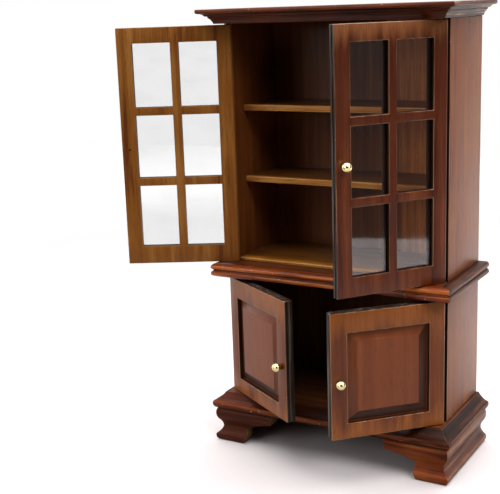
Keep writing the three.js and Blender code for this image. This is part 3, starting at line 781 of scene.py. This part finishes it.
for name in ("upper_left", "upper_right"):
    sign, place = door_place(name, UPPER)
    body = f"{name}_door"
    openings = light_openings(UPPER)
    half = UPPER["thick"] / 2
    seam = half - UPPER["front"]
    bm = framed_ply(UPPER, sign, seam + PLY_GAP, half, openings, half)
    complete(f"{name}_front_ply", bm, body, [f"{body}_front_frame"],
             [upper_face, ply_edge, reveal_wood], place, reveal_or_edge(UPPER, sign))
    offset = INNER_OFFSET[name]
    behind = [(a + offset, b + offset, c, d) for a, b, c, d in openings]
    bm = framed_ply(UPPER, sign, -half, seam - GLASS_THICK - 2 * PANE_GAP, behind, -half)
    complete(f"{name}_rear_ply", bm, body, [f"{body}_rear_frame"],
             [inner_face, ply_edge, reveal_wood], place, reveal_or_edge(UPPER, sign, True))
    bm = plate(steps([UPPER["stile"] - PIN_INSET - GLASS_LAP,
                      FREE_EDGE - UPPER["stile"] + GLASS_LAP], 20),
               steps([UPPER["bottom"] + UPPER["rail_bottom"] - GLASS_LAP,
                      UPPER["top"] - UPPER["rail_top"] + GLASS_LAP], 20),
               seam - GLASS_THICK - PANE_GAP, seam - PLY_GAP, turn=door_turn(sign))
    complete(f"{name}_pane", bm, body, [f"{body}_glass"], [pane], place)
    add_knob(name, UPPER, sign, place)

for name in ("lower_left", "lower_right"):
    sign, place = door_place(name, LOWER)
    body = f"{name}_door"
    half = LOWER["thick"] / 2
    seam = half - LOWER["front"]
    opening = (LOWER["stile"] - PIN_INSET, FREE_EDGE - LOWER["stile"],
               LOWER["bottom"] + LOWER["rail_bottom"], LOWER["top"] - LOWER["rail_top"])
    bm = framed_ply(LOWER, sign, seam + PLY_GAP, half, [opening], half)
    complete(f"{name}_front_ply", bm, body, [f"{body}_frame"],
             [lower_face, ply_edge, reveal_wood], place, reveal_or_edge(LOWER, sign))
    bm = raised_board(LOWER, sign)
    complete(f"{name}_raised_panel", bm, body, [f"{body}_panel"],
             [panel_face, ply_edge], place,
             lambda f: 0 if abs(f.normal.y) > 0.3 else 1)
    add_knob(name, LOWER, sign, place)

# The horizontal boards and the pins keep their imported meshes, which carry the bored holes.
for node, piece in frame["nodes"].items():
    if piece.hide_render:
        continue
    piece.data.materials.clear()
    # The base board takes the darker cupboard floor wood, painted shade inside the cupboard.
    piece.data.materials.append(pin_metal if "_pin_" in node else
                                shaded_cupboard_floor if node == "base_board" else top_wood)
    if "_pin_" not in node:
        edging = piece.modifiers.new("eased", "BEVEL")
        edging.width = 0.0001
        edging.segments = 2
        edging.limit_method = "ANGLE"


# ---------------------------------------------------------------- camera, floor and light

CAMERA_AT = Vector((171.5, -390.4, 179.1)) * MM
AZIMUTH, PITCH, ROLL = 0.5328, 0.2300, -0.0352        # radians: to the left, down, leaning

forward = Vector((-math.sin(AZIMUTH) * math.cos(PITCH), math.cos(AZIMUTH) * math.cos(PITCH),
                  -math.sin(PITCH)))
across = forward.cross(Vector((0, 0, 1))).normalized()
above = across.cross(forward)
right = math.cos(ROLL) * across + math.sin(ROLL) * above
up = -math.sin(ROLL) * across + math.cos(ROLL) * above

camera_data = bpy.data.cameras.new("camera")
camera_data.sensor_width = 36
camera_data.lens = 74.38
camera_data.clip_start, camera_data.clip_end = 0.01, 20
camera = bpy.data.objects.new("camera", camera_data)
camera.matrix_world = Matrix.Translation(CAMERA_AT) @ Matrix(
    [[right[i], up[i], -forward[i]] for i in range(3)]).to_4x4()
bpy.context.scene.collection.objects.link(camera)
bpy.context.scene.camera = camera

# A pale table: lighter to the lens in front than behind the case, and darker for bounced light in
# front than behind. Far off it glows a little, so that its edge doesn't show against the room.
table = Graph("table_white")
seen = table.add("ShaderNodeLightPath").outputs["Is Camera Ray"]
part = table.add("ShaderNodeSeparateXYZ")
table.link(table.add("ShaderNodeTexCoord").outputs["Object"], part.inputs[0])
bounce = table.mix(table.ramp(part.outputs["Y"], -0.02, 0.12),
                   (0.4, 0.39, 0.38, 1), (0.95, 0.95, 0.95, 1))
plain = table.mix(table.ramp(part.outputs["Y"], 0.04, 0.14),
                  (0.75, 0.69, 0.692, 1), (0.545, 0.54, 0.54, 1))
table.link(table.mix(seen, bounce, plain), table.shader.inputs["Base Color"])
reach = table.add("ShaderNodeVectorMath", operation="LENGTH")
table.link(table.add("ShaderNodeTexCoord").outputs["Object"], reach.inputs[0])
table.shader.inputs["Emission Color"].default_value = (1, 1, 1, 1)
glow = table.ramp(reach.outputs["Value"], 0.42, 0.68, 0.0, 0.38)
table.link(glow, table.shader.inputs["Emission Strength"])
table.shader.inputs["Roughness"].default_value = 0.9
table.shader.inputs["Specular IOR Level"].default_value = 0.1
bm = bmesh.new()
bmesh.ops.create_grid(bm, x_segments=1, y_segments=1, size=0.5)
bmesh.ops.scale(bm, vec=(1.2, 0.97, 1), verts=bm.verts)
bmesh.ops.translate(bm, vec=(-0.15, 0.265, 0), verts=bm.verts)
floor_mesh = bpy.data.meshes.new("table")
bm.to_mesh(floor_mesh)
bm.free()
floor_mesh.materials.append(table.material)
floor = bpy.data.objects.new("table", floor_mesh)
bpy.context.scene.collection.objects.link(floor)
floor.location = (0, 0, -0.0001)


def softbox(name, at, target, width, height, power, tint=(1, 1, 1)):
    light = bpy.data.lights.new(name, "AREA")
    light.shape = "RECTANGLE"
    light.size, light.size_y = width, height
    light.energy = power
    light.color = tint
    holder = bpy.data.objects.new(name, light)
    holder.location = at
    holder.rotation_mode = "QUATERNION"
    holder.rotation_quaternion = (Vector(target) - Vector(at)).to_track_quat("-Z", "Y")
    holder.visible_camera = False
    bpy.context.scene.collection.objects.link(holder)
    return holder


softbox("top_light", (0.05, 0.05, 1.0), (0, 0, 0), 1.3, 1.3, 20.0)
softbox("right_light", (0.65, -0.4, 0.72), (0, 0, 0.09), 0.5, 0.4, 3.0)
softbox("left_light", (-0.9, -0.25, 0.45), (0, 0, 0.08), 0.6, 0.7, 1.0)
softbox("front_left_light", (-0.4, -0.85, 0.4), (0.02, 0, 0.12), 0.4, 0.4, 1.5)

# Four pale panels round the lens, seen only in the brass balls, leave a small dark spot at their
# centre. Each is given by its place to the right of the lens and above it, its width and its height.
PANEL_NEAR = 0.5          # metres from the case towards the lens
PANEL_POWER = 4.0         # watts per square metre
balls = bpy.data.collections.new("balls")
for piece in bpy.data.objects:
    if piece.name.endswith("_ball_knob"):
        balls.objects.link(piece)
centre = Vector((0, -0.06, 0.09))
for name, side, height, wide, tall in (
        ("panel_top", 0, 0.55, 1.5, 0.6), ("panel_bottom", 0, -0.5, 1.5, 0.5),
        ("panel_left", -0.5, 0.03, 0.5, 0.5), ("panel_right", 0.5, 0.03, 0.5, 0.5)):
    at = centre - forward * PANEL_NEAR + across * side + above * height
    panel = softbox(name, at, centre, wide, tall, wide * tall * PANEL_POWER, (1, 0.96, 0.9))
    panel.light_linking.receiver_collection = balls

# The room: white to the lens, and for lighting bright behind and to the left, dim to the right
world = bpy.data.worlds.new("studio")
world.use_nodes = True
bpy.context.scene.world = world
tree = world.node_tree
tree.nodes.clear()


def world_node(kind, **settings):
    node = tree.nodes.new(kind)
    for key, value in settings.items():
        setattr(node, key, value)
    return node


toward = world_node("ShaderNodeVectorMath", operation="DOT_PRODUCT")
tree.links.new(world_node("ShaderNodeTexCoord").outputs["Generated"], toward.inputs[0])
toward.inputs[1].default_value = Vector((-0.6, 0.75, 0.35)).normalized()
spread = world_node("ShaderNodeMapRange", interpolation_type="SMOOTHSTEP")
tree.links.new(toward.outputs["Value"], spread.inputs["Value"])
spread.inputs["From Min"].default_value = -0.35
spread.inputs["From Max"].default_value = 0.35
spread.inputs["To Min"].default_value = 0.03
spread.inputs["To Max"].default_value = 0.85
room = world_node("ShaderNodeBackground")
room.inputs["Color"].default_value = (1, 1, 1, 1)
tree.links.new(spread.outputs["Result"], room.inputs["Strength"])
white = world_node("ShaderNodeBackground")
white.inputs["Color"].default_value = (1, 1, 1, 1)
white.inputs["Strength"].default_value = 1.0
choice = world_node("ShaderNodeMixShader")
tree.links.new(world_node("ShaderNodeLightPath").outputs["Is Camera Ray"], choice.inputs[0])
tree.links.new(room.outputs[0], choice.inputs[1])
tree.links.new(white.outputs[0], choice.inputs[2])
tree.links.new(choice.outputs[0], world_node("ShaderNodeOutputWorld").inputs[0])

bpy.context.scene.view_settings.view_transform = "Standard"
